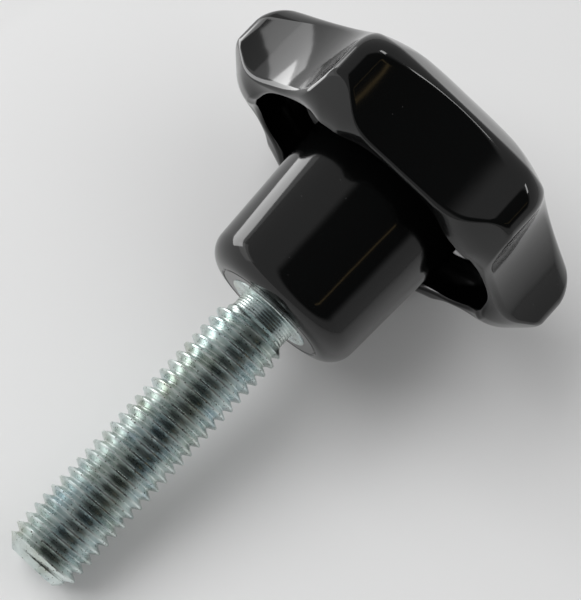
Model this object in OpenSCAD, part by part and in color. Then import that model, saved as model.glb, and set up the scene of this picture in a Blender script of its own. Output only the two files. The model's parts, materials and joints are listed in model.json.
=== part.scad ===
// Star grip with a moulded-in threaded stud, lying on its side.
// All sizes are in millimetres. Each piece is drawn along its own axis, with z = 0 on the
// face of the hub, the grip above it and the stud below it, and is then laid on the ground.

/* [Grip] */
// Diameter over the lobes
grip_d = 62; // [61.6:0.2:66]
// Number of lobes
lobes = 6; // [6:1:8]
// Depth of the flat middle of each hollow inside the circle over the lobes
hollow_depth = 5; // [4.4:0.1:6]
// Radius of the rounded crest of a lobe, seen from above
crest_round = 1.4; // [1:0.1:2]
// Radius of the two ends of a hollow, where it runs out to the crests
flank_round = 2.8; // [1.8:0.1:4]
// Height of the top of the grip above the face of the hub
grip_top = 42; // [40:0.5:45]
// Height of the lowest part of the rim, under a lobe, above the face of the hub
rim_height = 21.2; // [18:0.2:24]
// How much higher the rim runs past the middle of a hollow
hollow_rise = 1.2; // [0:0.1:1.5]
// Distance from the mouth of the cavity to where the underside starts to rise
rim_width = 2.9; // [2:0.1:3.4]
// Rise of the underside for each millimetre outwards
underside_slope = 0.93; // [0.7:0.01:1.1]
// Radius of curvature of the cap
cap_round = 68; // [60:2:90]
// Radius at which the cap turns into the sloping shoulder, above the middle of a hollow
cap_r = 15.6; // [14:0.1:17]
// How much further out the cap reaches above a lobe
cap_reach = 7.4; // [5:0.1:8]
// Fall of the shoulder for each millimetre outwards
shoulder_slope = 0.53; // [0.45:0.01:0.6]
// Softness of the turn from the cap into the shoulder
shoulder_blend = 1.4; // [0.6:0.1:2]
// Radius of the lower edge of the grip
lower_round = 1.7; // [1:0.1:2.2]
// Radius of the upper edge of the grip, in the middle of a hollow
upper_round = 1.8; // [1:0.1:2.4]
// Radius of the upper end of a lobe's crest
crest_end_round = 5.5; // [3:0.1:6]

/* [Cavity] */
// Thickness of the rim between the cavity and the middle of a hollow
rim_wall = 3.5; // [2.5:0.1:5]
// Rounding of the mouth of the cavity
mouth_round = 1.4; // [0.8:0.1:1.6]
// Thickness of the grip above the cavity, on the axis side of it
roof = 5.5; // [4:0.5:8]
// Rounding where the wall of the cavity meets its roof
roof_round = 3; // [1.5:0.5:4]

/* [Hub] */
// Diameter of the hub just above its rounded end
hub_d = 26; // [24:0.5:28]
// Rounding of the end of the hub
hub_round = 4; // [3:0.1:4.4]
// Draft of the moulded walls, in degrees
draft = 2.6; // [0.5:0.1:3]
// Diameter of the flat land on the end of the hub
land_d = 18; // [17:0.2:19]
// Depth of the fine groove round the land
land_groove = 0.25; // [0.1:0.05:0.5]

/* [Stud] */
// Major diameter of the thread
thread_d = 12; // [11.8:0.1:12.4]
// Length of the stud below the hub
stud_length = 50; // [30:1:80]
// Chamfer on the end of the stud
end_chamfer = 2.1; // [1:0.1:3]
// Diameter of the relief neck between thread and collar
neck_d = 9.3; // [8.6:0.1:10.2]
// Length of the relief neck
neck_length = 2.6; // [1.5:0.1:4]

/* [Insert] */
// Diameter of the collar that shows in the end of the hub
collar_d = 13.8; // [13:0.1:15]
// Height of the collar over the land
collar_proud = 0.2; // [0.1:0.05:0.5]
// Depth to which the stud is moulded into the hub
insert_depth = 20; // [18:0.5:26]
// Depth of the groove that locks the stud against pulling out
groove_depth = 1.2; // [0.6:0.1:2]
// Length of the groove
groove_length = 4.5; // [4.2:0.1:6]
// Depth of the start of the groove below the end of the hub
groove_start = 5; // [3:0.5:7]
// Distance across the two flats that lock the stud against turning
flats = 11.6; // [11:0.1:12.6]

/* [Hidden] */
$fn = 96;

flat_steps = 4;
flank_steps = 5;
crest_steps = 6;
arc_steps = 8;
overlap = 1;
skim = 0.05;

crest_r = grip_d / 2;
thread_r = thread_d / 2;
neck_r = neck_d / 2;
collar_r = collar_d / 2;
hollow_r = crest_r - hollow_depth;
cavity_r = hollow_r - rim_wall;
rim_r = cavity_r + rim_width;
sector = 360 / lobes;

// Smooth maximum and minimum of two values; k is the width of the blend.
function blend_step(x, y, k) = min(max(0.5 + (x - y) / (2 * k), 0), 1);
function soft_max(x, y, k) =
    let (h = blend_step(x, y, k)) x * h + y * (1 - h) + k * h * (1 - h);
function soft_min(x, y, k) = -soft_max(-x, -y, k);

// Points of an arc about [x, z], from one angle to another.
function arc(x, z, r, from, to) =
    [for (i = [0 : arc_steps]) let (a = from + (to - from) * i / arc_steps)
        [x + r * cos(a), z + r * sin(a)]];

// Outline of the grip from the middle of a hollow to the next crest, with the hollow along
// +x: the flat, the round at the end of the hollow, and half of the crest.
crest_x = (crest_r - crest_round) * cos(sector / 2);
crest_y = (crest_r - crest_round) * sin(sector / 2);
flank_x = hollow_r + flank_round;
flank_y = crest_y - sqrt(max(0, pow(flank_round + crest_round, 2) - pow(flank_x - crest_x, 2)));
turn = atan2(crest_y - flank_y, flank_x - crest_x);
half_outline = concat(
    [for (i = [0 : flat_steps]) [hollow_r, flank_y * i / flat_steps]],
    [for (i = [1 : flank_steps]) let (t = turn * i / flank_steps)
        [flank_x - flank_round * cos(t), flank_y + flank_round * sin(t)]],
    [for (i = [1 : crest_steps]) let (t = (turn + sector / 2) * i / crest_steps - turn)
        [crest_x + crest_round * cos(t), crest_y + crest_round * sin(t)]]);

// Whole outline, as [radius, angle] of each point; no point lies outside the lobes' circle.
half_polar = [for (p = half_outline) [min(crest_r, norm(p)), atan2(p[1], p[0])]];
last = len(half_polar) - 1;
outline = [for (k = [0 : lobes - 1]) each concat(
    [for (i = [0 : last]) [half_polar[i][0], k * sector + half_polar[i][1]]],
    [for (i = [last - 1 : -1 : 1]) [half_polar[i][0], (k + 1) * sector - half_polar[i][1]]])];
around = len(outline);

// Underside and top as heights at radius r, where the outline stands at radius w. The rim is
// lowest under a lobe; outside it the underside is a cone. The cap runs into a cone too, and
// reaches further out above a lobe, whose crest has a rounder upper end.
function lobe_share(w) = (w - hollow_r) / hollow_depth;
rim_blend = 0.5;
function rim_z(w) = rim_height + hollow_rise * (1 - lobe_share(w));
function cone_z(r) = rim_height + (r - rim_r) * underside_slope;
function underside(r, w) = soft_max(rim_z(w), cone_z(r), rim_blend);
function cap_z(r) = grip_top - r * r / (2 * cap_round);
function top(r, w) =
    let (knee = cap_r + cap_reach * lobe_share(w))
    soft_min(cap_z(r), cap_z(knee) - (r - knee) * shoulder_slope, shoulder_blend);

// One station of the loft: [radius, height] of its points for a place where the outline is
// at w. An edge of radius R between a face at angle a and the upright wall takes the
// outermost R (1 - sin a) of the face.
cap_rings = [0.15, 0.3, 0.42, 0.5, 0.58, 0.68, 0.79, 0.9];
rim_rings = [0.35, 0.55, 0.75, 0.9, 1];
edge_angles = [25, 45, 60, 75, 90];
core_r = cavity_r - mouth_round - overlap;
function stations(w) =
    let (low = atan(underside_slope * blend_step(cone_z(w), rim_z(w), rim_blend)),
         low_in = lower_round * (1 - sin(low)),
         high = atan(shoulder_slope),
         upper = upper_round + (crest_end_round - upper_round) * lobe_share(w),
         high_in = upper * (1 - sin(high)))
    concat(
        [[core_r, rim_height]],
        [for (t = rim_rings) let (r = core_r + t * (w - low_in - core_r)) [r, underside(r, w)]],
        [for (t = edge_angles) let (r = w - low_in * (1 - sin(t)))
            [r, underside(r, w) + low_in / cos(low) * (1 - cos(t))]],
        [for (i = [len(edge_angles) - 1 : -1 : 0])
            let (t = edge_angles[i], r = w - high_in * (1 - sin(t)))
            [r, top(r, w) - high_in / cos(high) * (1 - cos(t))]],
        [[w - high_in, top(w - high_in, w)]],
        [for (i = [len(cap_rings) - 1 : -1 : 0]) let (r = cap_rings[i] * (w - high_in))
            [r, top(r, w)]]);
columns = [for (p = outline) stations(p[0])];
rings = len(columns[0]);
grip_points = concat(
    [for (k = [0 : rings - 1]) for (i = [0 : around - 1])
        let (a = outline[i][1], s = columns[i][k]) [s[0] * cos(a), s[0] * sin(a), s[1]]],
    [[0, 0, grip_top]]);
function at(k, i) = k * around + i % around;
grip_faces = concat(
    [[for (i = [0 : around - 1]) i]],
    [for (k = [0 : rings - 2]) for (i = [0 : around - 1]) each
        [[at(k, i), at(k + 1, i), at(k + 1, i + 1)], [at(k, i), at(k + 1, i + 1), at(k, i + 1)]]],
    [for (i = [0 : around - 1]) [at(rings - 1, i), rings * around, at(rings - 1, i + 1)]]);

// Lying position: the stud touches the ground with the shoulder of its end chamfer, and the
// grip with the crests of two lobes. Local +x points down before the piece is tilted.
touch_x = thread_r;
touch_z = end_chamfer - stud_length;
lay_angle = max([for (p = grip_points) atan2(p[0] - touch_x, p[2] - touch_z)]);
function laid_x(p) = p[0] * sin(lay_angle) + p[2] * cos(lay_angle);
lift = touch_x * cos(lay_angle) - touch_z * sin(lay_angle);
far_x = max([for (p = grip_points) laid_x(p)]);
near_x = min(laid_x([-touch_x, 0, touch_z]), laid_x([end_chamfer - thread_r, 0, -stud_length]));
middle_x = (far_x + near_x) / 2;

module lay_down() {
    translate([-middle_x, 0, lift]) rotate([0, 90 - lay_angle, 0]) children();
}

// Grip as one loft, still without the cavity.
module grip() {
    polyhedron(points = grip_points, faces = grip_faces, convexity = 6);
}

// Cavity under the grip, out to its drafted wall; the hub stands in it.
module cavity() {
    mouth_x = cavity_r + mouth_round;
    mouth_z = rim_height + mouth_round - skim;
    roof_z = top(cavity_r, hollow_r) - roof * cos(atan(shoulder_slope));
    roof_x = cavity_r - (roof_z - mouth_z) * tan(draft);
    rotate_extrude() polygon(concat(
        [[0, rim_height - overlap], [mouth_x, rim_height - overlap]],
        arc(mouth_x, mouth_z, mouth_round, 270, 180),
        arc(roof_x - roof_round, roof_z - roof_round, roof_round, 0, 90),
        [[0, roof_z]]));
}

// Hub with its drafted wall and rounded end, and a fine groove round the land.
module hub() {
    land_r = land_d / 2;
    hub_r = hub_d / 2;
    hub_top = grip_top - roof;
    round_x = hub_r - hub_round * cos(draft);
    wall_x = hub_r + (hub_top - hub_round * (1 - sin(draft))) * tan(draft);
    difference() {
        rotate_extrude() polygon(concat(
            [[0, 0]],
            arc(round_x, hub_round, hub_round, 270, 360 - draft),
            [[wall_x, hub_top], [0, hub_top]]));
        rotate_extrude() polygon([
            [land_r - land_groove, -skim], [land_r + land_groove, -skim],
            [land_r, land_groove]]);
    }
}

// The part of the stud that is moulded in. The pocket in the hub is cut with it.
module insert() {
    groove_r = collar_r - groove_depth;
    groove_end = groove_start + groove_length;
    difference() {
        rotate_extrude() polygon([
            [0, -collar_proud], [collar_r, -collar_proud],
            [collar_r, groove_start], [groove_r, groove_start + groove_depth],
            [groove_r, groove_end - groove_depth], [collar_r, groove_end],
            [collar_r, insert_depth], [0, insert_depth]]);
        for (side = [-1, 1])
            translate([side * (flats + collar_d) / 2, 0, groove_end + insert_depth])
                cube([collar_d, 2 * collar_d, 2 * insert_depth], center = true);
    }
}

module knob_body() {
    color([0.09, 0.09, 0.1]) lay_down() difference() {
        union() {
            difference() {
                grip();
                cavity();
            }
            hub();
        }
        insert();
    }
}

module threaded_stud() {
    run_out = thread_r - neck_r;
    color("silver") lay_down() union() {
        insert();
        rotate_extrude() polygon([
            [0, 0], [neck_r, 0], [neck_r, -neck_length], [thread_r, -neck_length - run_out],
            [thread_r, end_chamfer - stud_length], [thread_r - end_chamfer, -stud_length],
            [0, -stud_length]]);
    }
}

knob_body();
threaded_stud();
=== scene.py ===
"""A six-lobed star knob with a moulded-in threaded stud, lying on a pale studio floor.

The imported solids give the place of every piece, and two finer meshes stand for them. The
moulded body has rounder crests and deeper hollows between its lobes than its solid, and the
stud has its real thread, where its solid has the plain cylinder over the crests.
"""

import json
import logging
import math
from collections.abc import Sequence
from dataclasses import dataclass, field
from enum import Enum

import bmesh
import bpy
import numpy as np
from mathutils import Matrix, Vector


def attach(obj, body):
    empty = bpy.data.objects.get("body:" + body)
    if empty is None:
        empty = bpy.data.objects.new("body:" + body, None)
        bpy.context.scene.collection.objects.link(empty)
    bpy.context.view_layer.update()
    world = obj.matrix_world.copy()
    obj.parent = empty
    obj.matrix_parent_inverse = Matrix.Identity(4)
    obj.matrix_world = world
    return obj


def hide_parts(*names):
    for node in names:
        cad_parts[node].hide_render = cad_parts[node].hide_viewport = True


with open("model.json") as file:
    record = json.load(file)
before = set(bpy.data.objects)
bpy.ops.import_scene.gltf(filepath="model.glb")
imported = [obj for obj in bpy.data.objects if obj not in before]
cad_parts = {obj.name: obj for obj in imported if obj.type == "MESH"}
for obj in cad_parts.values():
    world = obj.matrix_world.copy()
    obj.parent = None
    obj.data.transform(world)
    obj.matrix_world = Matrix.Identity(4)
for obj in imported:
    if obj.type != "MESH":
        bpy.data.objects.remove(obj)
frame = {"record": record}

LOG = logging.getLogger("star_knob")
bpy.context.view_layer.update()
MM = 0.001

# Sockets of the Mix node that carry colours; the others carry its other kinds of value.
MIX_FACTOR, MIX_LOW, MIX_HIGH, MIX_RESULT = 0, 6, 7, 2

# Share of a speck's radius that is full, detail of the two noises, and a noise's middle value.
SPECK_CORE = 0.6
PATCH_DETAIL = 2.0
CLOUD_DETAIL = 3.0
NOISE_MIDDLE = 0.5

Color = tuple[float, float, float]
Place = tuple[float, float, float]
Turned = Sequence[tuple[float, float]]


class Slot(Enum):
    """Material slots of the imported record."""

    GRIP = "grip_plastic"
    STEEL = "plated_steel"


class Seen(Enum):
    """How a lamp shows: as light on matt surfaces, or as a reflection in gloss."""

    LIGHT = "light"
    REFLECTION = "reflection"


# ------------------------------------------------------------------ placing and meshing


@dataclass(frozen=True)
class KnobAxes:
    """Axes of the knob as it lies: z runs from the hub's face to the cap, x points down."""

    origin: Vector
    x: Vector
    y: Vector
    z: Vector

    @classmethod
    def from_record(cls, record: dict, pin_to_face: float) -> "KnobAxes":
        """Reads the axes from the stud's mount.

        Args:
            record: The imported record.
            pin_to_face: Distance from the middle of the stud mount to the hub's face, in mm.

        Returns:
            The axes, with the origin in the hub's face.
        """
        pin = next(m for m in record["mounts"] if m["name"] == "stud")
        z = -Vector(pin["axis"]).normalized()
        y = Vector((0, 1, 0))
        return cls(Vector(pin["pos_m"]) + z * pin_to_face * MM, y.cross(z), y, z)

    def place(self, points: np.ndarray) -> np.ndarray:
        """Moves points from the knob's own axes, in mm, into the frame, in metres."""
        return np.array(self.origin) + MM * self.turn(points)

    def turn(self, vectors: np.ndarray) -> np.ndarray:
        """Turns directions from the knob's own axes into the frame."""
        return vectors @ np.array([self.x, self.y, self.z])


def soft_max(a: np.ndarray, b: np.ndarray, width: float) -> np.ndarray:
    """Smooth maximum of two surfaces, with a blend of the given width."""
    h = np.clip(0.5 + (a - b) / (2 * width), 0, 1)
    return a * h + b * (1 - h) + width * h * (1 - h)


def unit(v: np.ndarray) -> np.ndarray:
    """Scales vectors to a length of one; a vector without length stays zero."""
    return v / np.maximum(np.linalg.norm(v, axis=-1, keepdims=True), 1e-12)


def run_tangents(points: np.ndarray, joins: Sequence[int], closed: bool) -> np.ndarray:
    """Tangents along the first axis of a grid, exact on straight and on round runs.

    Args:
        points: Grid of points, shape (n, m, 3).
        joins: Indices at which one run ends and the next begins.
        closed: Whether the last point is followed by the first.

    Returns:
        Unit tangents, of the same shape as points.
    """
    n = len(points)
    step = np.roll(points, -1, 0) - points if closed else np.diff(points, axis=0)
    length = np.linalg.norm(step, axis=-1, keepdims=True)
    way = unit(step)
    if closed:
        out = unit(length * np.roll(way, 1, 0) + np.roll(length, 1, 0) * way)
    else:
        out = np.empty_like(points)
        out[1:-1] = unit(length[1:] * way[:-1] + length[:-1] * way[1:])
        out[0] = unit(2 * way[0] - out[1]) if n > 2 else way[0]
        out[-1] = unit(2 * way[-1] - out[-2]) if n > 2 else way[-1]
    plain = out.copy()
    for j in joins:
        before = unit(2 * way[j - 1] - plain[(j - 1) % n])
        after = unit(2 * way[j % len(way)] - plain[(j + 1) % n])
        out[j] = unit(before + after)
    return out


@dataclass
class RingShell:
    """A closed surface of rings round the knob's axis, in bands that each bend smoothly.

    It starts with a flat disc that looks down the axis and ends with one that looks up it.

    Attributes:
        angles: Angle of each column, in radians.
        column_joins: Columns at which one arc of the outline meets the next.
        bands: Rings of each band, shape (rings, columns, 3), with the joins between runs.
    """

    angles: np.ndarray
    column_joins: list[int] = field(default_factory=list)
    bands: list[tuple[np.ndarray, list[int]]] = field(default_factory=list)

    def rings(self, r: np.ndarray, z: np.ndarray) -> np.ndarray:
        """Makes rings from radii and heights.

        Args:
            r: Radii in mm, of a shape that broadcasts to (rings, columns).
            z: Heights in mm, likewise.

        Returns:
            Points, shape (rings, columns, 3).
        """
        r, z, a = np.broadcast_arrays(r, z, self.angles)
        return np.stack([r * np.cos(a), r * np.sin(a), z], axis=-1)

    def line(self, start: tuple, end: tuple, steps: int = 1) -> np.ndarray:
        """Straight run between two places, each a radius and a height."""
        t = np.linspace(0, 1, steps + 1)[:, None]
        return self.rings(start[0] + (end[0] - start[0]) * t, start[1] + (end[1] - start[1]) * t)

    def arc(
        self, centre: tuple, r: float | np.ndarray, start: float, end: float, steps: int
    ) -> np.ndarray:
        """Makes a round run.

        Args:
            centre: Radius and height of the arc's centre, in mm.
            r: Radius of the arc, in mm.
            start: First angle, in degrees.
            end: Last angle, in degrees.
            steps: Number of steps.

        Returns:
            Points, shape (steps + 1, columns, 3).
        """
        t = np.radians(np.linspace(start, end, steps + 1))[:, None]
        return self.rings(centre[0] + r * np.cos(t), centre[1] + r * np.sin(t))

    def add_smooth(self, *runs: np.ndarray) -> None:
        """Adds one smooth band.

        Args:
            runs: Grids of points; each starts where the last one ended.
        """
        joins = list(np.cumsum([len(run) - 1 for run in runs])[:-1])
        rest = [run[1:] for run in runs[1:]]
        self.bands.append((np.concatenate([runs[0], *rest]), [int(j) for j in joins]))

    def add_crisp(self, points: Turned) -> None:
        """Adds turned faces, with a sharp edge at each point."""
        for start, end in zip(points, points[1:]):
            self.bands.append((self.line(start, end), []))

    def build(self, name: str, axes: KnobAxes) -> bpy.types.Object:
        """Makes the mesh, with normals that follow the surface and not its facets.

        Args:
            name: Name of the new object.
            axes: Axes that the surface stands in.

        Returns:
            The linked object.
        """
        around = len(self.angles)
        here = np.arange(around)
        beside = (here + 1) % around
        points, quads, normals = [], [], []
        count = 0
        for grid, joins in self.bands:
            down = run_tangents(grid, joins, closed=False)
            across = run_tangents(grid.swapaxes(0, 1), self.column_joins, closed=True)
            normal = unit(np.cross(across.swapaxes(0, 1), down))
            first = max(count - around, 0)
            points.append(grid[1:] if count else grid)
            count += len(points[-1]) * around
            for k in range(len(grid) - 1):
                low, high = first + k * around, first + (k + 1) * around
                corners = (low + here, low + beside, high + beside, high + here)
                quads.append(np.stack(corners, axis=-1))
                n0, n1 = normal[k], normal[k + 1]
                normals.append(np.stack([n0, n0[beside], n1[beside], n1], axis=1))
        vertices = axes.place(np.concatenate([p.reshape(-1, 3) for p in points]))
        discs = [list(range(around))[::-1], list(range(count - around, count))]
        mesh = bpy.data.meshes.new(name)
        mesh.from_pydata(vertices.tolist(), [], np.concatenate(quads).tolist() + discs)
        mesh.polygons.foreach_set("use_smooth", np.ones(len(mesh.polygons), dtype=bool))
        looks = [np.tile([[0.0, 0.0, way]], (around, 1)) for way in (-1, 1)]
        flat = np.concatenate([np.concatenate(normals).reshape(-1, 3), *looks])
        mesh.normals_split_custom_set(axes.turn(flat).tolist())
        return linked(name, mesh)


def linked(name: str, mesh: bpy.types.Mesh) -> bpy.types.Object:
    """Puts a mesh into the scene as a new object.

    Args:
        name: Name of the object.
        mesh: Its mesh.

    Returns:
        The object.
    """
    obj = bpy.data.objects.new(name, mesh)
    bpy.context.scene.collection.objects.link(obj)
    return obj


# ------------------------------------------------------------------------- the pieces


@dataclass(frozen=True)
class InsertForm:
    """The part of the stud that is moulded into the hub, and the pocket that holds it."""

    collar_r: float = 6.9
    collar_proud: float = 0.2
    depth: float = 20.0
    groove_depth: float = 1.2
    groove_length: float = 4.5
    groove_start: float = 5.0
    half_flats: float = 5.8
    ledge: float = 0.001

    def profile(self) -> list[tuple[float, float]]:
        """Draws the insert's side.

        Returns:
            Radius and height of each point, from the collar's rim to the inner end.
        """
        end = self.groove_start + self.groove_length
        waist = self.collar_r - self.groove_depth
        return [
            (self.collar_r, self.groove_start),
            (waist, self.groove_start + self.groove_depth),
            (waist, end - self.groove_depth),
            (self.collar_r, end),
            (self.collar_r, end + self.ledge),
            (self.collar_r, self.depth),
        ]

    def cut_flats(self, points: np.ndarray) -> np.ndarray:
        """Cuts the two flats beyond the groove.

        Args:
            points: Points of the insert or of its pocket, shape (..., 3).

        Returns:
            The points, with those beyond the flats moved onto them.
        """
        x, y, z = np.moveaxis(points, -1, 0)
        beyond = z > self.groove_start + self.groove_length + self.ledge / 2
        cut = np.clip(x, -self.half_flats, self.half_flats)
        return np.stack([np.where(beyond, cut, x), y, z], axis=-1)


@dataclass(frozen=True)
class BodySteps:
    """Number of steps in each run of the body's surface."""

    hollow: int = 22
    crest: int = 16
    hub_edge: int = 14
    hub_wall: int = 4
    roof: int = 2
    roof_edge: int = 8
    cavity_wall: int = 4
    mouth: int = 10
    underside: int = 30
    edge: int = 10
    wall: int = 4
    shoulder: int = 8
    cap: int = 20
    middle: int = 10


@dataclass
class KnobBody:
    """The moulded star grip with its hub, in one piece. Sizes are in mm, the draft in degrees.

    Heights count from the face of the hub. The steps on the cap grow finer towards the axis;
    cap_shares are the shares of the cap's reach at which its three runs of steps end.
    """

    insert: InsertForm
    grip_r: float = 31.0
    lobes: int = 6
    hollow_depth: float = 6.8
    crest_round: float = 3.0
    grip_top: float = 42.0
    rim_height: float = 21.2
    hollow_rise: float = 1.2
    rim_width: float = 2.9
    rim_blend: float = 2.2
    underside_slope: float = 0.93
    cap_round: float = 68.0
    cap_r: float = 15.6
    cap_reach: float = 7.4
    shoulder_slope: float = 0.53
    shoulder_blend: float = 1.4
    hollow_lower_round: float = 1.1
    lobe_lower_round: float = 1.7
    upper_round: float = 1.5
    crest_end_round: float = 5.5
    rim_wall: float = 1.7
    hollow_mouth_round: float = 0.55
    lobe_mouth_round: float = 1.4
    roof: float = 5.5
    roof_round: float = 3.0
    hub_r: float = 13.0
    hub_round: float = 4.0
    draft: float = 2.6
    land_r: float = 9.0
    land_groove: float = 0.25
    cap_shares: tuple[float, float, float] = (0.75, 0.4, 0.01)
    steps: BodySteps = BodySteps()

    @property
    def hollow_r(self) -> float:
        """Distance of the middle of a hollow from the axis."""
        return self.grip_r - self.hollow_depth

    @property
    def cavity_r(self) -> float:
        """Radius of the cavity at its mouth."""
        return self.hollow_r - self.rim_wall

    @property
    def lean(self) -> float:
        """Draft of the moulded walls, in radians."""
        return math.radians(self.draft)

    def outline(self) -> tuple[np.ndarray, np.ndarray, list[int]]:
        """Draws the outline of the grip, from the middle of one hollow all the way round.

        Each hollow is one wide arc that runs tangent into the rounded crests beside it.

        Returns:
            The radius and the angle of each column, and the columns at which runs join.
        """
        half = math.pi / self.lobes
        crest = (self.grip_r - self.crest_round) * np.array([math.cos(half), math.sin(half)])
        short = self.hollow_r - crest[0]
        sweep = (short**2 + crest[1] ** 2 - self.crest_round**2) / (2 * (self.crest_round - short))
        centre = self.hollow_r + sweep
        turn = math.atan2(crest[1], centre - crest[0])
        hollow = [
            (centre - sweep * math.cos(t), sweep * math.sin(t))
            for t in np.linspace(0, turn, self.steps.hollow + 1)
        ]
        over = [
            (crest[0] + self.crest_round * math.cos(t), crest[1] + self.crest_round * math.sin(t))
            for t in np.linspace(-turn, half, self.steps.crest + 1)[1:]
        ]
        xy = np.array(hollow + over)
        r = np.minimum(np.hypot(xy[:, 0], xy[:, 1]), self.grip_r)
        a = np.arctan2(xy[:, 1], xy[:, 0])
        r = np.concatenate([r, r[-2:0:-1]])
        a = np.concatenate([a, 2 * half - a[-2:0:-1]])
        ends = [self.steps.hollow, len(r) - self.steps.hollow]
        joins = [k * len(r) + e for k in range(self.lobes) for e in ends]
        angles = np.concatenate([a + 2 * half * k for k in range(self.lobes)])
        return np.tile(r, self.lobes), angles, joins

    def lobe_share(self, w: np.ndarray) -> np.ndarray:
        """How much a place belongs to a lobe: 0 in the middle of a hollow, 1 on a crest."""
        return (w - self.hollow_r) / self.hollow_depth

    def between(self, w: np.ndarray, hollow: float, lobe: float) -> np.ndarray:
        """A size that runs from its value in a hollow to its value at a lobe."""
        return hollow + (lobe - hollow) * self.lobe_share(w)

    def mouth_round(self, w: np.ndarray) -> np.ndarray:
        """Radius of the rounded mouth of the cavity where the outline stands at radius w."""
        return self.between(w, self.hollow_mouth_round, self.lobe_mouth_round)

    def rim_z(self, w: np.ndarray) -> np.ndarray:
        """Height of the rim where the outline stands at radius w."""
        share = self.lobe_share(w)
        return self.rim_height + self.hollow_rise * (1 - share**2 * (3 - 2 * share))

    def cone_z(self, r: np.ndarray) -> np.ndarray:
        """Height of the underside's cone at a radius."""
        return self.rim_height + (r - self.cavity_r - self.rim_width) * self.underside_slope

    def underside(self, r: np.ndarray, w: np.ndarray) -> np.ndarray:
        """Height of the underside at radius r, where the outline stands at radius w."""
        return soft_max(self.rim_z(w), self.cone_z(r), self.rim_blend)

    def cap_z(self, r: np.ndarray) -> np.ndarray:
        """Height of the domed cap at a radius."""
        return self.grip_top - r**2 / (2 * self.cap_round)

    def top(self, r: np.ndarray, w: np.ndarray) -> np.ndarray:
        """Finds the height of the cap or of the shoulder outside it.

        Args:
            r: Radius at which the height is wanted.
            w: Radius of the outline there.

        Returns:
            The height.
        """
        knee = self.cap_r + self.cap_reach * self.lobe_share(w)
        shoulder = self.cap_z(knee) - (r - knee) * self.shoulder_slope
        return -soft_max(-self.cap_z(r), -shoulder, self.shoulder_blend)

    def build(self, axes: KnobAxes, finish: "GlossFinish") -> bpy.types.Object:
        """Builds and dresses the body.

        Args:
            axes: Axes that the knob lies in.
            finish: Finish of the moulding.

        Returns:
            The finished object, riding on the frame.
        """
        w, angles, joins = self.outline()
        shell = RingShell(angles, joins)
        self.add_pocket(shell)
        self.add_land(shell)
        roof_z = float(self.top(np.array(self.cavity_r), np.array(self.hollow_r)))
        roof_z -= self.roof * math.cos(math.atan(self.shoulder_slope))
        shell.add_smooth(*self.hub_runs(shell, roof_z))
        shell.add_smooth(*self.cavity_runs(shell, w, roof_z), *self.grip_runs(shell, w))
        obj = shell.build("knob_body_moulding", axes)
        obj.data.materials.append(finish.material())
        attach(obj, "root")
        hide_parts("knob_body")
        return obj

    def add_pocket(self, shell: RingShell) -> None:
        """Adds the pocket that the stud is moulded into, from its inner end to the face."""
        shell.add_crisp([*reversed(self.insert.profile()), (self.insert.collar_r, 0.0)])
        shell.bands = [(self.insert.cut_flats(grid), joins) for grid, joins in shell.bands]

    def hub_end(self) -> tuple[float, float]:
        """Radius of the ring that the hub's rounded end is swept on, and where it begins."""
        ring_r = self.hub_r - self.hub_round * math.cos(self.lean)
        return ring_r, math.asin((self.land_r + self.land_groove - ring_r) / self.hub_round)

    def add_land(self, shell: RingShell) -> None:
        """Adds the flat land round the collar, with the fine groove at its edge."""
        g = self.land_groove
        begin_z = self.hub_round * (1 - math.cos(self.hub_end()[1]))
        inner, outer = (self.insert.collar_r, 0.0), (self.land_r - g, 0.0)
        shell.add_crisp([inner, outer, (self.land_r, g), (self.land_r + g, begin_z)])

    def hub_runs(self, shell: RingShell, roof_z: float) -> list[np.ndarray]:
        """Makes the runs of the hub's outside.

        Args:
            shell: Surface that the runs belong to.
            roof_z: Height of the roof of the cavity.

        Returns:
            The runs: rounded end and drafted wall.
        """
        ring_r, begin = self.hub_end()
        start = math.degrees(begin) - 90
        wall_z = self.hub_round * (1 - math.sin(self.lean))
        foot = (self.hub_foot(roof_z), roof_z)
        return [
            shell.arc(
                (ring_r, self.hub_round), self.hub_round, start, -self.draft, self.steps.hub_edge
            ),
            shell.line((self.hub_r, wall_z), foot, self.steps.hub_wall),
        ]

    def hub_foot(self, roof_z: float) -> float:
        """Radius of the hub where its wall meets the roof of the cavity."""
        wall_z = self.hub_round * (1 - math.sin(self.lean))
        return self.hub_r + (roof_z - wall_z) * math.tan(self.lean)

    def cavity_runs(self, shell: RingShell, w: np.ndarray, roof_z: float) -> list[np.ndarray]:
        """Makes the runs of the cavity, from the hub to its mouth.

        Args:
            shell: Surface that the runs belong to.
            w: Radius of the outline at each column.
            roof_z: Height of the roof of the cavity.

        Returns:
            The runs: roof, rounded corner, drafted wall and rounded mouth.
        """
        lean, mouth = self.lean, self.mouth_round(w)
        mouth_x, mouth_z = self.cavity_r + mouth, self.rim_z(w) + mouth
        roof_x = self.cavity_r - (roof_z - float(mouth_z.mean())) * math.tan(lean)
        bend = (roof_x - self.roof_round, roof_z - self.roof_round)
        bend_end = (
            bend[0] + self.roof_round * math.cos(lean),
            bend[1] + self.roof_round * math.sin(lean),
        )
        lip = (mouth_x - mouth * math.cos(lean), mouth_z - mouth * math.sin(lean))
        foot = (self.hub_foot(roof_z), roof_z)
        return [
            shell.line(foot, (bend[0], roof_z), self.steps.roof),
            shell.arc(bend, self.roof_round, 90, self.draft, self.steps.roof_edge),
            shell.line(bend_end, lip, self.steps.cavity_wall),
            shell.arc((mouth_x, mouth_z), mouth, 180 + self.draft, 270, self.steps.mouth),
        ]

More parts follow.
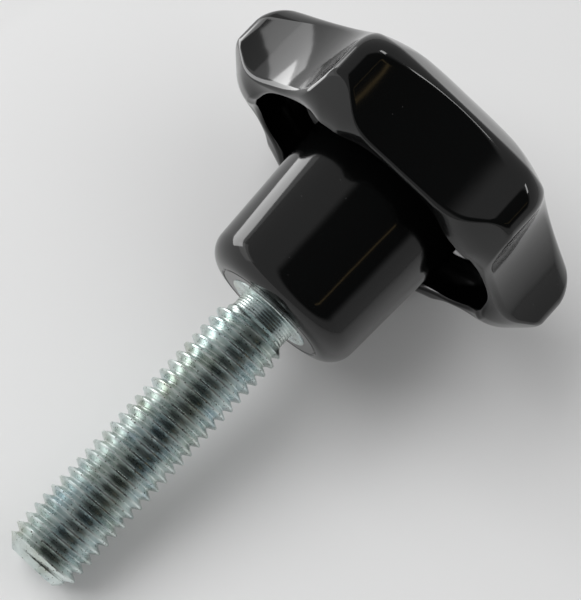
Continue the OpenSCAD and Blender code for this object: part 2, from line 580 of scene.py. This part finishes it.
    def grip_runs(self, shell: RingShell, w: np.ndarray) -> list[np.ndarray]:
        """Makes the runs of the grip's outside, from the mouth of the cavity to the cap.

        Args:
            shell: Surface that the runs belong to.
            w: Radius of the outline at each column.

        Returns:
            The runs: underside, lower edge, wall, upper edge, and shoulder with the cap.
        """
        steep = np.clip(0.5 + (self.cone_z(w) - self.rim_z(w)) / (2 * self.rim_blend), 0, 1)
        low = np.arctan(self.underside_slope * steep)
        lower = self.between(w, self.hollow_lower_round, self.lobe_lower_round)
        low_in = lower * (1 - np.sin(low))
        high = math.atan(self.shoulder_slope)
        high_in = self.between(w, self.upper_round, self.crest_end_round) * (1 - math.sin(high))

        start = self.cavity_r + self.mouth_round(w)
        t = np.linspace(0, 1, self.steps.underside + 1)[:, None]
        r_under = start + t * (w - low_in - start)
        under = shell.rings(r_under, self.underside(r_under, w))

        t = np.radians(np.linspace(0, 90, self.steps.edge + 1))[:, None]
        r = w - low_in * (1 - np.sin(t))
        z = self.underside(r, w) + low_in / np.cos(low) * (1 - np.cos(t))
        foot = shell.rings(r, z)

        t = t[::-1]
        r = w - high_in * (1 - np.sin(t))
        z_up = self.top(r, w) - high_in / math.cos(high) * (1 - np.cos(t))
        upper = shell.rings(r, z_up)

        t = np.linspace(0, 1, self.steps.wall + 1)[:, None]
        wall = shell.rings(w, z[-1] + (z_up[0] - z[-1]) * t)

        knee, crown, middle = self.cap_shares
        shares = np.concatenate(
            [
                np.linspace(1, knee, self.steps.shoulder + 1),
                np.linspace(knee, crown, self.steps.cap + 1)[1:],
                np.geomspace(crown, middle, self.steps.middle + 1)[1:],
            ]
        )
        r_top = shares[:, None] * (w - high_in)
        return [under, foot, wall, upper, shell.rings(r_top, self.top(r_top, w))]


@dataclass
class ThreadedStud:
    """The plated steel stud: insert, collar, relief neck and M12 x 1.75 thread, in mm.

    The flank is the slope of the thread's flanks against the axis, in degrees. The pin is the
    part between the end chamfer and the collar that the stud's mount names.
    """

    insert: InsertForm
    thread_r: float = 6.0
    crest_r: float = 5.92
    root_r: float = 4.86
    pitch: float = 1.75
    crest_round: float = 0.08
    root_round: float = 0.2
    length: float = 50.0
    end_chamfer: float = 2.1
    neck_r: float = 4.65
    neck_length: float = 2.6
    run_out: float = 0.8
    ring_marks: int = 5
    ring_height: float = 0.05
    collar_edge: float = 0.12
    start_turn: float = 0.35
    flank: float = 60.0
    pin_length: float = 43.95
    segments: int = 96
    arc_steps: int = 3
    mark_steps: int = 8

    @property
    def pin_middle(self) -> float:
        """Distance of the middle of the stud's mount from the face of the hub."""
        return self.length - self.end_chamfer - self.pin_length / 2

    def build(self, axes: KnobAxes, finish: "PlatedFinish") -> bpy.types.Object:
        """Builds and dresses the stud.

        Args:
            axes: Axes that the knob lies in.
            finish: Finish of the steel.

        Returns:
            The finished object, riding on the frame.
        """
        thread, faces = self.thread()
        turned = self.turned()
        rows, n = len(turned) // self.segments, self.segments
        offset = len(thread)
        for k in range(rows - 1):
            low, high = offset + k * n, offset + (k + 1) * n
            faces += strip(low, high, n)
            faces.append([low + n - 1, low, high, high + n - 1])
        faces.append(list(range(offset + (rows - 1) * n, offset + rows * n)))
        mesh = bpy.data.meshes.new("threaded_stud_plated")
        points = axes.place(np.concatenate([thread, turned]))
        mesh.from_pydata(points.tolist(), [], faces)
        weld(mesh)
        obj = linked(mesh.name, mesh)
        obj.data.materials.append(finish.material())
        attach(obj, "root")
        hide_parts("threaded_stud")
        return obj

    def profile(self) -> tuple[np.ndarray, np.ndarray]:
        """Draws one pitch of the thread from crest to crest.

        Returns:
            The places along the axis, in pitches, and the radii; the end isn't repeated.
        """
        flank = math.radians(self.flank)
        arc = np.linspace(0, flank, self.arc_steps + 1)
        root_z = self.pitch / 2 - self.root_round * math.sin(flank)
        root_top = self.root_r + self.root_round * (1 - math.cos(flank))
        corner = self.crest_r - self.crest_round * (1 - math.cos(flank))
        flank_run = (corner - root_top) / math.tan(flank)
        crest_z = root_z - flank_run - self.crest_round * math.sin(flank)
        z, r = [0.0, crest_z], [self.crest_r, self.crest_r]
        for t in arc[1:]:
            z.append(crest_z + self.crest_round * math.sin(t))
            r.append(self.crest_r - self.crest_round * (1 - math.cos(t)))
        for t in arc[::-1]:
            z.append(self.pitch / 2 - self.root_round * math.sin(t))
            r.append(self.root_r + self.root_round * (1 - math.cos(t)))
        z += [self.pitch - v for v in z[-2:0:-1]]
        r += r[-2:0:-1]
        return np.array(z) / self.pitch, np.array(r)

    def envelope(self, z: np.ndarray) -> np.ndarray:
        """Largest radius at a height, as set by the end chamfer and the run-out."""
        tip = self.thread_r - self.end_chamfer + (z + self.length)
        neck = self.neck_r + (-self.neck_length - z) * self.run_out
        return np.minimum(tip, neck)

    def thread(self) -> tuple[np.ndarray, list[list[int]]]:
        """Winds the right-hand thread as one strip whose rows follow the helix.

        Returns:
            The points, and the faces with the flat end of the stud.
        """
        part, radius = self.profile()
        m, n = len(part), self.segments
        low, high = -self.length, -self.neck_length
        turns = math.ceil((high - low) / self.pitch) + 2
        along = (np.arange(turns)[:, None] + part).ravel()[:, None] + np.arange(n) / n
        z = np.clip(low + (along - 1 - self.start_turn) * self.pitch, low, high)
        r = np.minimum(np.tile(radius, turns)[:, None], self.envelope(z))
        a = 2 * math.pi * np.arange(n) / n
        points = np.stack([r * np.cos(a), r * np.sin(a), z], axis=-1)
        faces = []
        rows = m * turns
        for k in range(rows - 1):
            base = k * n
            faces += strip(base, base + n, n)
            if k + m + 1 < rows:
                wrap = (k + m) * n
                faces.append([base + n - 1, wrap, wrap + n, base + 2 * n - 1])
        faces.append(list(range(n))[::-1])
        return points.reshape(-1, 3), faces

    def turned(self) -> np.ndarray:
        """Makes the turned rings of the stud.

        Returns:
            The points of the neck, the collar and the insert, from the thread inwards.
        """
        face, edge = -self.insert.collar_proud, self.collar_edge
        marks = np.linspace(0, 1, self.mark_steps * self.ring_marks + 1)
        neck_end = face - edge
        neck = [
            (
                self.neck_r + self.ring_height * abs(math.sin(math.pi * self.ring_marks * t)),
                -self.neck_length + (neck_end + self.neck_length) * t,
            )
            for t in marks
        ]
        collar = [
            (self.neck_r + edge, face),
            (self.insert.collar_r - edge, face),
            (self.insert.collar_r, face + edge),
        ]
        rows = np.array(neck + collar + self.insert.profile())
        a = 2 * math.pi * np.arange(self.segments) / self.segments
        r, z = rows[:, :1], np.repeat(rows[:, 1:], self.segments, axis=1)
        points = np.stack([r * np.cos(a), r * np.sin(a), z], axis=-1)
        return self.insert.cut_flats(points).reshape(-1, 3)


def strip(low: int, high: int, count: int) -> list[list[int]]:
    """Joins two rows of points with quads.

    Args:
        low: Number of the first point of the lower row.
        high: Number of the first point of the upper row.
        count: Number of points in a row.

    Returns:
        The quads, without one from the last point back to the first.
    """
    return [[low + i, low + i + 1, high + i + 1, high + i] for i in range(count - 1)]


def weld(mesh: bpy.types.Mesh, gap: float = 2e-7, crisp: float = 32.0) -> None:
    """Merges points that fall together and keeps edges sharper than an angle crisp.

    Args:
        mesh: Mesh to weld.
        gap: Distance in metres within which points are one.
        crisp: Angle in degrees above which an edge stays sharp.
    """
    bm = bmesh.new()
    bm.from_mesh(mesh)
    bmesh.ops.remove_doubles(bm, verts=bm.verts, dist=gap)
    bmesh.ops.dissolve_degenerate(bm, edges=bm.edges, dist=gap)
    for face in bm.faces:
        face.smooth = True
    bm.to_mesh(mesh)
    bm.free()
    mesh.set_sharp_from_angle(angle=math.radians(crisp))


# ----------------------------------------------------------------------- the finishes


@dataclass
class Graph:
    """A node tree that is being built."""

    tree: bpy.types.NodeTree

    def node(self, kind: str, **values: object) -> bpy.types.Node:
        """Adds a node.

        Args:
            kind: Type name of the node.
            values: Attributes of the node to set.

        Returns:
            The new node.
        """
        node = self.tree.nodes.new(kind)
        for key, value in values.items():
            setattr(node, key, value)
        return node

    def join(self, source: bpy.types.NodeSocket, target: bpy.types.NodeSocket) -> None:
        """Links an output to an input.

        Args:
            source: The output.
            target: The input.
        """
        self.tree.links.new(source, target)

    def ramp(self, value: bpy.types.NodeSocket, low: float, high: float) -> bpy.types.NodeSocket:
        """Maps a value from 0 to 1 onto a range.

        Args:
            value: Output that gives the value.
            low: Result where the value is 0.
            high: Result where the value is 1.

        Returns:
            The output that gives the result.
        """
        ramp = self.node("ShaderNodeMapRange")
        ramp.inputs["To Min"].default_value = low
        ramp.inputs["To Max"].default_value = high
        self.join(value, ramp.inputs["Value"])
        return ramp.outputs["Result"]

    def mixed(
        self, factor: bpy.types.NodeSocket, low: "Color | bpy.types.NodeSocket", high: Color
    ) -> bpy.types.NodeSocket:
        """Mixes two colours.

        Args:
            factor: Output that gives the share of the second colour.
            low: First colour, or the output that gives it.
            high: Second colour.

        Returns:
            The output that gives the mixed colour.
        """
        mix = self.node("ShaderNodeMix", data_type="RGBA")
        self.join(factor, mix.inputs[MIX_FACTOR])
        if isinstance(low, bpy.types.NodeSocket):
            self.join(low, mix.inputs[MIX_LOW])
        else:
            mix.inputs[MIX_LOW].default_value = (*low, 1)
        mix.inputs[MIX_HIGH].default_value = (*high, 1)
        return mix.outputs[MIX_RESULT]

    def place_group(self, group: bpy.types.NodeTree, **values: float) -> bpy.types.Node:
        """Places a node group with its own values.

        Args:
            group: The group.
            values: Inputs to set, with spaces in their names written as underscores.

        Returns:
            The node that holds the group.
        """
        node = self.node("ShaderNodeGroup", node_tree=group)
        for key, value in values.items():
            node.inputs[key.replace("_", " ")].default_value = value
        return node


def new_group(name: str, inputs: dict[str, float], outputs: dict[str, str]) -> tuple:
    """Starts a shader node group.

    Args:
        name: Name of the group.
        inputs: Name and default of each number that goes in.
        outputs: Name and socket type of each result.

    Returns:
        The graph of the group, its input node and its output node.
    """
    tree = bpy.data.node_groups.new(name, "ShaderNodeTree")
    for key, default in inputs.items():
        socket = tree.interface.new_socket(key, in_out="INPUT", socket_type="NodeSocketFloat")
        socket.default_value = default
    for key, kind in outputs.items():
        tree.interface.new_socket(key, in_out="OUTPUT", socket_type=kind)
    graph = Graph(tree)
    return graph, graph.node("NodeGroupInput"), graph.node("NodeGroupOutput")


@dataclass(frozen=True)
class SharedEffects:
    """Node groups that both finishes use."""

    specks: bpy.types.NodeTree
    clouds: bpy.types.NodeTree

    @classmethod
    def make(cls) -> "SharedEffects":
        """Builds each group once.

        Returns:
            The groups.
        """
        return cls(cls.make_specks(), cls.make_clouds())

    @staticmethod
    def make_specks() -> bpy.types.NodeTree:
        """Builds the group for scattered specks, such as dust or pits.

        A speck is full out to a share of its radius and fades from there to its edge.

        Returns:
            A group with a Mask that is 1 on a speck.
        """
        g, inp, out = new_group(
            "scattered_specks", {"Scale": 900.0, "Cover": 0.1}, {"Mask": "NodeSocketFloat"}
        )
        where = g.node("ShaderNodeTexCoord")
        cells = g.node("ShaderNodeTexVoronoi", feature="F1")
        patches = g.node("ShaderNodeTexNoise")
        patches.inputs["Detail"].default_value = PATCH_DETAIL
        size = g.node("ShaderNodeMath", operation="MULTIPLY")
        fade = g.node("ShaderNodeMapRange", clamp=True)
        fade.inputs["To Min"].default_value = 1.0
        fade.inputs["To Max"].default_value = 0.0
        g.join(where.outputs["Object"], cells.inputs["Vector"])
        g.join(where.outputs["Object"], patches.inputs["Vector"])
        g.join(inp.outputs["Scale"], cells.inputs["Scale"])
        g.join(inp.outputs["Scale"], patches.inputs["Scale"])
        g.join(inp.outputs["Cover"], size.inputs[0])
        g.join(patches.outputs["Fac"], size.inputs[1])
        g.join(cells.outputs["Distance"], fade.inputs["Value"])
        core = g.node("ShaderNodeMath", operation="MULTIPLY")
        core.inputs[1].default_value = SPECK_CORE
        g.join(size.outputs[0], core.inputs[0])
        g.join(core.outputs[0], fade.inputs["From Min"])
        g.join(size.outputs[0], fade.inputs["From Max"])
        g.join(fade.outputs["Result"], out.inputs["Mask"])
        return g.tree

    @staticmethod
    def make_clouds() -> bpy.types.NodeTree:
        """Builds the group for slow, cloudy variation.

        Returns:
            A group with a Value from 0 to 1 around 0.5.
        """
        g, inp, out = new_group(
            "soft_clouds", {"Scale": 60.0, "Contrast": 1.0}, {"Value": "NodeSocketFloat"}
        )
        where = g.node("ShaderNodeTexCoord")
        noise = g.node("ShaderNodeTexNoise")
        noise.inputs["Detail"].default_value = CLOUD_DETAIL
        spread = g.node("ShaderNodeMath", operation="MULTIPLY_ADD", use_clamp=True)
        less = g.node("ShaderNodeMath", operation="SUBTRACT")
        less.inputs[1].default_value = NOISE_MIDDLE
        spread.inputs[2].default_value = NOISE_MIDDLE
        g.join(where.outputs["Object"], noise.inputs["Vector"])
        g.join(inp.outputs["Scale"], noise.inputs["Scale"])
        g.join(noise.outputs["Fac"], less.inputs[0])
        g.join(less.outputs[0], spread.inputs[0])
        g.join(inp.outputs["Contrast"], spread.inputs[1])
        g.join(spread.outputs[0], out.inputs["Value"])
        return g.tree


def new_material(name: str) -> tuple[bpy.types.Material, Graph, bpy.types.Node]:
    """Starts a material with one Principled shader.

    Args:
        name: Name of the material.

    Returns:
        The material, its graph and its shader.
    """
    material = bpy.data.materials.new(name)
    material.use_nodes = True
    return material, Graph(material.node_tree), material.node_tree.nodes["Principled BSDF"]


def add_waves(
    graph: Graph,
    shader: bpy.types.Node,
    clouds: bpy.types.NodeSocket,
    height: float,
    strength: float,
) -> None:
    """Makes the surface rise and fall with clouds.

    Args:
        graph: Graph of the material.
        shader: Its shader.
        clouds: Output that gives the clouds.
        height: Height of the waves in metres.
        strength: Share of the height that shows.
    """
    bump = graph.node("ShaderNodeBump")
    bump.inputs["Strength"].default_value = strength
    bump.inputs["Distance"].default_value = height
    graph.join(clouds, bump.inputs["Height"])
    graph.join(bump.outputs["Normal"], shader.inputs["Normal"])


@dataclass(frozen=True)
class GlossFinish:
    """High-gloss black thermoset, as it leaves a polished mould."""

    effects: SharedEffects
    color: Color = (0.0018, 0.0019, 0.0019)
    dust: Color = (0.03, 0.03, 0.03)
    gloss: float = 0.055
    haze: float = 0.12
    wave_height: float = 0.00012
    wave_strength: float = 1.0
    wave_scale: float = 55.0
    wave_contrast: float = 1.0
    dust_scale: float = 420.0
    dust_cover: float = 0.09

    def material(self) -> bpy.types.Material:
        """Makes the material of the moulding.

        Returns:
            The material.
        """
        material, g, shader = new_material(Slot.GRIP.value)
        specks = g.place_group(self.effects.specks, Scale=self.dust_scale, Cover=self.dust_cover)
        tint = g.mixed(specks.outputs["Mask"], self.color, self.dust)
        g.join(tint, shader.inputs["Base Color"])
        group = g.place_group(
            self.effects.clouds, Scale=self.wave_scale, Contrast=self.wave_contrast
        )
        clouds = group.outputs["Value"]
        g.join(g.ramp(clouds, self.gloss, self.haze), shader.inputs["Roughness"])
        add_waves(g, shader, clouds, self.wave_height, self.wave_strength)
        return material


@dataclass(frozen=True)
class PlatedFinish:
    """Blue-white zinc plating over a rolled thread."""

    effects: SharedEffects
    olive: Color = (0.42, 0.45, 0.36)
    blue: Color = (0.40, 0.52, 0.57)
    pale: Color = (0.80, 0.87, 0.85)
    pits: Color = (0.035, 0.032, 0.022)
    smooth: float = 0.18
    rough: float = 0.40
    tint_scale: float = 150.0
    tint_contrast: float = 2.6
    cloud_scale: float = 330.0
    cloud_contrast: float = 2.2
    pit_scale: float = 1700.0
    pit_cover: float = 0.42
    grain_height: float = 0.00004
    grain_strength: float = 0.7

    def material(self) -> bpy.types.Material:
        """Makes the material of the stud: two tints, pale clouds over them and dark pits.

        Returns:
            The material.
        """
        material, g, shader = new_material(Slot.STEEL.value)
        group = g.place_group(
            self.effects.clouds, Scale=self.cloud_scale, Contrast=self.cloud_contrast
        )
        clouds = group.outputs["Value"]
        pits = g.place_group(self.effects.specks, Scale=self.pit_scale, Cover=self.pit_cover)
        tints = g.place_group(
            self.effects.clouds, Scale=self.tint_scale, Contrast=self.tint_contrast
        )
        tint = g.mixed(tints.outputs["Value"], self.olive, self.blue)
        tint = g.mixed(clouds, tint, self.pale)
        tint = g.mixed(pits.outputs["Mask"], tint, self.pits)
        g.join(tint, shader.inputs["Base Color"])
        shader.inputs["Metallic"].default_value = 1.0
        g.join(g.ramp(clouds, self.smooth, self.rough), shader.inputs["Roughness"])
        add_waves(g, shader, clouds, self.grain_height, self.grain_strength)
        return material


# ------------------------------------------------------------------------- the studio


@dataclass(frozen=True)
class Lamp:
    """A rectangular soft lamp that the camera doesn't see. Sizes and places are in metres."""

    name: str
    seen: Seen
    place: Place
    aim: Place
    size: tuple[float, float]
    radiance: float
    color: Color = (1.0, 1.0, 1.0)

    def add(self) -> bpy.types.Object:
        """Adds the lamp to the scene.

        Returns:
            The lamp's object.
        """
        data = bpy.data.lights.new(self.name, "AREA")
        data.shape = "RECTANGLE"
        width, height = self.size
        data.size = width
        data.size_y = height
        data.energy = self.radiance * math.pi * width * height
        data.color = self.color
        obj = bpy.data.objects.new(self.name, data)
        obj.location = self.place
        way = Vector(self.aim) - Vector(self.place)
        obj.rotation_euler = way.to_track_quat("-Z", "Y").to_euler()
        obj.visible_camera = False
        obj.visible_glossy = self.seen is Seen.REFLECTION
        obj.visible_diffuse = self.seen is Seen.LIGHT
        bpy.context.scene.collection.objects.link(obj)
        return obj


LAMPS = (
    Lamp(
        "key_lamp",
        Seen.LIGHT,
        place=(-0.30, 0.75, 0.80),
        aim=(0.0, 0.0, 0.0),
        size=(0.9, 0.8),
        radiance=5.0,
    ),
    Lamp(
        "fill_lamp",
        Seen.LIGHT,
        place=(0.2, -0.35, 0.95),
        aim=(0.0, 0.0, 0.0),
        size=(1.2, 1.2),
        radiance=0.6,
    ),
    Lamp(
        "hub_card",
        Seen.REFLECTION,
        place=(0.018, 0.062, 0.011),
        aim=(0.008, 0.0, 0.02),
        size=(0.05, 0.022),
        radiance=4.0,
    ),
    Lamp(
        "grip_card",
        Seen.REFLECTION,
        place=(0.0425, 0.062, 0.026),
        aim=(0.03, 0.0, 0.034),
        size=(0.010, 0.028),
        radiance=2.0,
    ),
    Lamp(
        "stud_card",
        Seen.REFLECTION,
        place=(-0.03, 0.09, 0.02),
        aim=(-0.02, 0.0, 0.01),
        size=(0.07, 0.03),
        radiance=0.5,
    ),
    Lamp(
        "edge_card",
        Seen.REFLECTION,
        place=(0.42, -0.06, 0.58),
        aim=(0.03, 0.0, 0.05),
        size=(0.30, 0.06),
        radiance=7.0,
    ),
    Lamp(
        "warm_strip",
        Seen.REFLECTION,
        place=(-0.02, -0.50, 0.65),
        aim=(0.01, 0.0, 0.03),
        size=(0.55, 0.020),
        radiance=0.7,
        color=(1.0, 0.72, 0.32),
    ),
)


@dataclass(frozen=True)
class StudioCamera:
    """The camera, placed from the knob's own axes. Lengths are in mm, angles in degrees.

    The picture's right runs along the stud and across it by the shares in right_way. The hub's
    face lies off the picture's middle by face_along and face_across, in pixels. The focal length
    is in pixels too. The scale, in pixels a mm, holds on the axis at scale_along from the face.
    """

    focal: float = 1995.0
    scale: float = 6.815
    scale_along: float = 3.55
    lean: float = 9.9
    roll: float = 1.5
    right_way: tuple[float, float] = (0.6807, 0.7325)
    face_along: float = -24.16
    face_across: float = -7.4
    picture: float = 600.0
    sensor: float = 36.0
    near: float = 0.01

    def add(self, axes: KnobAxes) -> bpy.types.Object:
        """Adds the camera to the scene and looks through it.

        Args:
            axes: Axes that the knob lies in.

        Returns:
            The camera's object.
        """
        data = bpy.data.cameras.new("studio_camera")
        data.sensor_fit = "AUTO"
        data.sensor_width = self.sensor
        data.lens = self.sensor * self.focal / self.picture
        data.clip_start = self.near
        camera = bpy.data.objects.new("studio_camera", data)
        camera.matrix_world = self.stand(axes)
        bpy.context.scene.collection.objects.link(camera)
        bpy.context.scene.camera = camera
        return camera

    def stand(self, axes: KnobAxes) -> Matrix:
        """Works out where the camera stands and how it is turned.

        Args:
            axes: Axes that the knob lies in.

        Returns:
            The camera's matrix.
        """
        roll, lean = math.radians(self.roll), math.radians(self.lean)
        side = -math.cos(roll) * axes.x + math.sin(roll) * axes.y
        across = axes.z.cross(side)
        along = math.cos(lean) * axes.z + math.sin(lean) * side
        into = math.sin(lean) * axes.z - math.cos(lean) * side
        share, rest = self.right_way
        right = share * along + rest * across
        down = share * across - rest * along
        depth = self.focal / self.scale - self.scale_along * math.sin(lean)
        size = depth / self.focal
        face = self.face_along * size * along + self.face_across * size * across + depth * into
        matrix = Matrix((right, -down, -into)).transposed().to_4x4()
        matrix.translation = axes.origin - face * MM
        return matrix


@dataclass(frozen=True)
class Studio:
    """Pale floor, soft lamps, dim room and the camera."""

    floor_color: Color = (0.83, 0.83, 0.83)
    floor_rough: float = 0.8
    floor_gloss: float = 0.2
    floor_half: float = 1.5
    room: Color = (0.42, 0.42, 0.42)
    ceiling: Color = (0.035, 0.036, 0.036)
    backdrop: Color = (0.62, 0.625, 0.625)
    ceiling_middle: Place = (-0.25, -0.3, 0.92)
    ceiling_edge: float = 0.67
    ceiling_soft: float = 0.08
    lamps: tuple[Lamp, ...] = LAMPS
    camera: StudioCamera = StudioCamera()

    def build(self, axes: KnobAxes) -> None:
        """Builds the whole studio.

        Args:
            axes: Axes that the knob lies in, which place the camera.
        """
        self.add_floor()
        self.set_world()
        for lamp in self.lamps:
            lamp.add()
        self.camera.add(axes)
        bpy.context.scene.view_settings.view_transform = "Standard"

    def add_floor(self) -> None:
        """Adds the matt floor."""
        h = self.floor_half
        mesh = bpy.data.meshes.new("studio_floor")
        mesh.from_pydata([(-h, -h, 0), (h, -h, 0), (h, h, 0), (-h, h, 0)], [], [(0, 1, 2, 3)])
        floor = linked("studio_floor", mesh)
        material, _, shader = new_material("studio_floor")
        shader.inputs["Base Color"].default_value = (*self.floor_color, 1)
        shader.inputs["Roughness"].default_value = self.floor_rough
        shader.inputs["Specular IOR Level"].default_value = self.floor_gloss
        mesh.materials.append(material)

    def set_world(self) -> None:
        """Sets a grey room with a dark ceiling, and a pale backdrop where the camera sees it."""
        world = bpy.data.worlds.new("studio_room")
        world.use_nodes = True
        bpy.context.scene.world = world
        g = Graph(world.node_tree)
        background = world.node_tree.nodes["Background"]
        way = g.node("ShaderNodeTexCoord")
        dot = g.node("ShaderNodeVectorMath", operation="DOT_PRODUCT")
        dot.inputs[1].default_value = Vector(self.ceiling_middle).normalized()
        g.join(way.outputs["Generated"], dot.inputs[0])
        edge = g.node("ShaderNodeMapRange", interpolation_type="SMOOTHSTEP")
        edge.inputs["From Min"].default_value = self.ceiling_edge - self.ceiling_soft
        edge.inputs["From Max"].default_value = self.ceiling_edge + self.ceiling_soft
        g.join(dot.outputs["Value"], edge.inputs["Value"])
        room = g.mixed(edge.outputs["Result"], self.room, self.ceiling)
        ray = g.node("ShaderNodeLightPath")
        room = g.mixed(ray.outputs["Is Camera Ray"], room, self.backdrop)
        g.join(room, background.inputs["Color"])


# ------------------------------------------------------------------------------ main


def main() -> None:
    """Builds the knob and its studio, and reports each piece."""
    logging.basicConfig(level=logging.INFO, format="%(name)s: %(message)s")
    insert = InsertForm()
    body, stud = KnobBody(insert), ThreadedStud(insert)
    axes = KnobAxes.from_record(frame["record"], stud.pin_middle)
    effects = SharedEffects.make()
    pieces = [
        body.build(axes, GlossFinish(effects)),
        stud.build(axes, PlatedFinish(effects)),
    ]
    for piece in pieces:
        LOG.info("%s: %d faces", piece.name, len(piece.data.polygons))
    Studio().build(axes)


if __name__ == "__main__":
    main()
